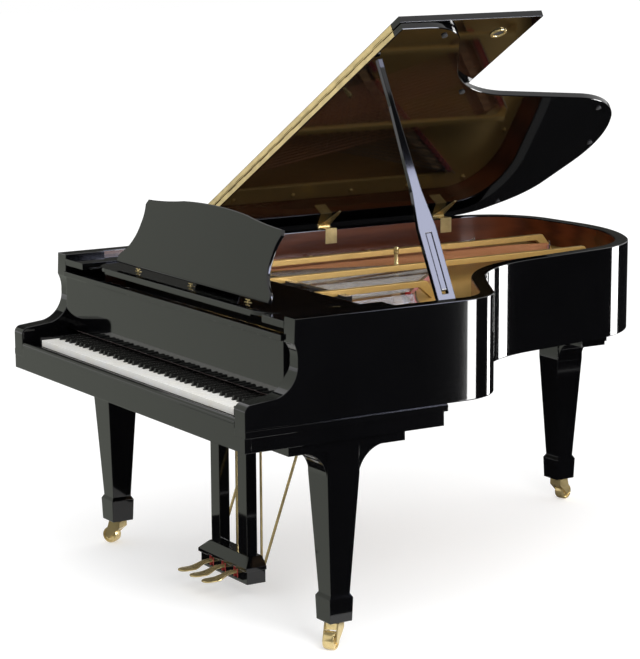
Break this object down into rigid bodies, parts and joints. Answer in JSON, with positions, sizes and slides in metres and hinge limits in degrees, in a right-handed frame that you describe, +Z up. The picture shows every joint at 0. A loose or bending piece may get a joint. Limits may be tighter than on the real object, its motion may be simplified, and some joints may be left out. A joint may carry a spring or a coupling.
{
  "type": "grand piano",
  "caption": "Black lacquered grand piano with its lid propped open, music desk up, bronze iron plate, brass pedals and brass casters.",
  "frame": {"origin": "on the floor below the middle of the whole piano with its lid up", "axes": "+X along the keyboard towards the treble end, +Y from the keyboard to the tail, +Z up"},
  "size_m": [1.5096, 1.9858, 1.7737],
  "materials": {
    "black_lacquer": "gloss",
    "maple": "satin",
    "spruce": "satin",
    "bronzed_iron": "satin",
    "steel": "satin",
    "brass": "polished",
    "ivory_plastic": "gloss",
    "ebony_plastic": "satin",
    "felt": "matte",
    "rubber": "matte"
  },
  "bodies": {
    "case": {"outer_rim": "black_lacquer", "inner_rim": "maple", "keybed": "black_lacquer", "key_slip": "black_lacquer", "key_blocks": "black_lacquer", "strings": "steel", "hitch_pins": "steel", "tuning_pins": "steel", "pin_block": "maple", "iron_plate": "bronzed_iron", "bridges": "maple", "soundboard": "spruce", "soundboard_ribs": "spruce", "back_posts": "maple", "tray_rails": "black_lacquer", "lid_hinge_rim_leaves": "brass", "prop_bracket": "brass", "leg_left": "black_lacquer", "leg_right": "black_lacquer", "leg_rear": "black_lacquer", "lyre_frame": "black_lacquer", "pedal_box": "black_lacquer", "lyre_braces": "brass"},
    "lid": {"lid_main": "black_lacquer", "flap_hinge_lid_leaf": "brass", "lid_hinge_straps": "brass", "lid_bumpers": "rubber"},
    "flap": {"lid_flap": "black_lacquer", "flap_hinge_flap_leaf": "brass"},
    "prop": {"lid_prop": "black_lacquer"},
    "half_stick": {"half_prop": "black_lacquer"},
    "key_cover": {"fallboard": "black_lacquer"},
    "tray": {"music_tray": "black_lacquer", "desk_hinges": "brass"},
    "desk": {"music_desk": "black_lacquer"},
    "stay": {"desk_stay": "black_lacquer"},
    "dampers": {"damper_felts": "felt", "damper_heads": "black_lacquer"},
    "keyboard": {"white_keys": "ivory_plastic", "black_keys": "ebony_plastic", "key_frame": "maple", "action_frame": "steel", "hammers": "maple"},
    "key_c": {"key_c": "ivory_plastic"},
    "key_c_sharp": {"key_c_sharp": "ebony_plastic"},
    "key_d": {"key_d": "ivory_plastic"},
    "key_d_sharp": {"key_d_sharp": "ebony_plastic"},
    "key_e": {"key_e": "ivory_plastic"},
    "pedal_soft": {"pedal_soft": "brass"},
    "rod_soft": {"pedal_rod_soft": "brass"},
    "pedal_middle": {"pedal_middle": "brass"},
    "rod_middle": {"pedal_rod_middle": "brass"},
    "pedal_sustain": {"pedal_sustain": "brass"},
    "rod_sustain": {"pedal_rod_sustain": "brass"},
    "fork_left": {"caster_fork_left": "brass"},
    "wheel_left": {"caster_wheel_left": "brass"},
    "fork_right": {"caster_fork_right": "brass"},
    "wheel_right": {"caster_wheel_right": "brass"},
    "fork_rear": {"caster_fork_rear": "brass"},
    "wheel_rear": {"caster_wheel_rear": "brass"}
  },
  "joints": [
    {"name": "lid_hinge", "type": "hinge", "parent": "case", "child": "lid", "pos_m": [-0.72917, 0.18507, 0.983], "axis": [0, -1, 0], "range_deg": [0, 8]},
    {"name": "flap_hinge", "type": "hinge", "parent": "lid", "child": "flap", "pos_m": [-0.09866, -0.34993, 1.37866], "axis": [0.8634, 0, 0.5045], "range_deg": [0, 180]},
    {"name": "prop_hinge", "type": "hinge", "parent": "case", "child": "prop", "pos_m": [0.70283, -0.29093, 0.962], "axis": [0.0217, -0.9985, -0.0502], "range_deg": [0, 66]},
    {"name": "half_stick_hinge", "type": "hinge", "parent": "prop", "child": "half_stick", "pos_m": [0.6846, -0.29344, 1.00416], "axis": [-0.0217, 0.9985, 0.0502], "range_deg": [0, 60]},
    {"name": "key_cover_hinge", "type": "hinge", "parent": "case", "child": "key_cover", "pos_m": [0.01483, -0.81293, 0.768], "axis": [1, 0, 0], "range_deg": [0, 90]},
    {"name": "tray_slide", "type": "slide", "parent": "case", "child": "tray", "axis": [0, 1, 0], "range_m": [0, 0.06]},
    {"name": "desk_hinge", "type": "hinge", "parent": "tray", "child": "desk", "pos_m": [0.01483, -0.74893, 0.97], "axis": [-1, 0, 0], "range_deg": [0, 66]},
    {"name": "stay_hinge", "type": "hinge", "parent": "desk", "child": "stay", "pos_m": [0.01483, -0.69756, 1.07633], "axis": [1, 0, 0], "range_deg": [0, 132]},
    {"name": "pedal_soft_hinge", "type": "hinge", "parent": "case", "child": "pedal_soft", "pos_m": [-0.06017, -0.61693, 0.078], "axis": [1, 0, 0], "range_deg": [0, 5.5], "stiffness_Nm_per_rad": 25, "springref_deg": -8.59},
    {"name": "rod_soft_slide", "type": "slide", "parent": "case", "child": "rod_soft", "axis": [0, 0, 1], "range_m": [0, 0.0065]},
    {"name": "pedal_middle_hinge", "type": "hinge", "parent": "case", "child": "pedal_middle", "pos_m": [0.01483, -0.61693, 0.078], "axis": [1, 0, 0], "range_deg": [0, 5.5], "stiffness_Nm_per_rad": 25, "springref_deg": -8.59},
    {"name": "rod_middle_slide", "type": "slide", "parent": "case", "child": "rod_middle", "axis": [0, 0, 1], "range_m": [0, 0.0065]},
    {"name": "pedal_sustain_hinge", "type": "hinge", "parent": "case", "child": "pedal_sustain", "pos_m": [0.08983, -0.61693, 0.078], "axis": [1, 0, 0], "range_deg": [0, 5.5], "stiffness_Nm_per_rad": 25, "springref_deg": -8.59},
    {"name": "rod_sustain_slide", "type": "slide", "parent": "case", "child": "rod_sustain", "axis": [0, 0, 1], "range_m": [0, 0.0065]},
    {"name": "damper_lift", "type": "slide", "parent": "case", "child": "dampers", "axis": [0, 0, 1], "range_m": [0, 0.0065]},
    {"name": "keyboard_shift", "type": "slide", "parent": "case", "child": "keyboard", "axis": [1, 0, 0], "range_m": [0, 0.0025]},
    {"name": "key_c_hinge", "type": "hinge", "parent": "keyboard", "child": "key_c", "pos_m": [-0.04416, -0.76093, 0.7035], "axis": [1, 0, 0], "range_deg": [0, 2.9], "stiffness_Nm_per_rad": 1, "springref_deg": -6.88},
    {"name": "key_d_hinge", "type": "hinge", "parent": "keyboard", "child": "key_d", "pos_m": [-0.02056, -0.76093, 0.7035], "axis": [1, 0, 0], "range_deg": [0, 2.9], "stiffness_Nm_per_rad": 1, "springref_deg": -6.88},
    {"name": "key_e_hinge", "type": "hinge", "parent": "keyboard", "child": "key_e", "pos_m": [0.00303, -0.76093, 0.7035], "axis": [1, 0, 0], "range_deg": [0, 2.9], "stiffness_Nm_per_rad": 1, "springref_deg": -6.88},
    {"name": "key_c_sharp_hinge", "type": "hinge", "parent": "keyboard", "child": "key_c_sharp", "pos_m": [-0.03486, -0.76093, 0.7035], "axis": [1, 0, 0], "range_deg": [0, 2.9], "stiffness_Nm_per_rad": 1, "springref_deg": -6.88},
    {"name": "key_d_sharp_hinge", "type": "hinge", "parent": "keyboard", "child": "key_d_sharp", "pos_m": [-0.00627, -0.76093, 0.7035], "axis": [1, 0, 0], "range_deg": [0, 2.9], "stiffness_Nm_per_rad": 1, "springref_deg": -6.88},
    {"name": "caster_left_swivel", "type": "hinge", "parent": "case", "child": "fork_left", "pos_m": [-0.65917, -0.66793, 0.077], "axis": [0, 0, 1], "continuous": true},
    {"name": "wheel_left_roll", "type": "hinge", "parent": "fork_left", "child": "wheel_left", "pos_m": [-0.68082, -0.68043, 0.027], "axis": [0.5, -0.866, 0], "continuous": true},
    {"name": "caster_right_swivel", "type": "hinge", "parent": "case", "child": "fork_right", "pos_m": [0.68883, -0.66793, 0.077], "axis": [0, 0, 1], "continuous": true},
    {"name": "wheel_right_roll", "type": "hinge", "parent": "fork_right", "child": "wheel_right", "pos_m": [0.70317, -0.68841, 0.027], "axis": [0.8192, 0.5736, 0], "continuous": true},
    {"name": "caster_rear_swivel", "type": "hinge", "parent": "case", "child": "fork_rear", "pos_m": [-0.33317, 0.91007, 0.077], "axis": [0, 0, 1], "continuous": true},
    {"name": "wheel_rear_roll", "type": "hinge", "parent": "fork_rear", "child": "wheel_rear", "pos_m": [-0.34006, 0.9341, 0.027], "axis": [-0.9613, -0.2756, 0], "continuous": true}
  ],
  "couplings": [
    {"joint": "stay_hinge", "follows": "desk_hinge", "ratio": 2},
    {"joint": "rod_soft_slide", "follows": "pedal_soft_hinge", "m_per_rad": 0.066},
    {"joint": "rod_middle_slide", "follows": "pedal_middle_hinge", "m_per_rad": 0.066},
    {"joint": "rod_sustain_slide", "follows": "pedal_sustain_hinge", "m_per_rad": 0.066},
    {"joint": "damper_lift", "follows": "pedal_sustain_hinge", "m_per_rad": 0.066},
    {"joint": "keyboard_shift", "follows": "pedal_soft_hinge", "m_per_rad": 0.026}
  ]
}
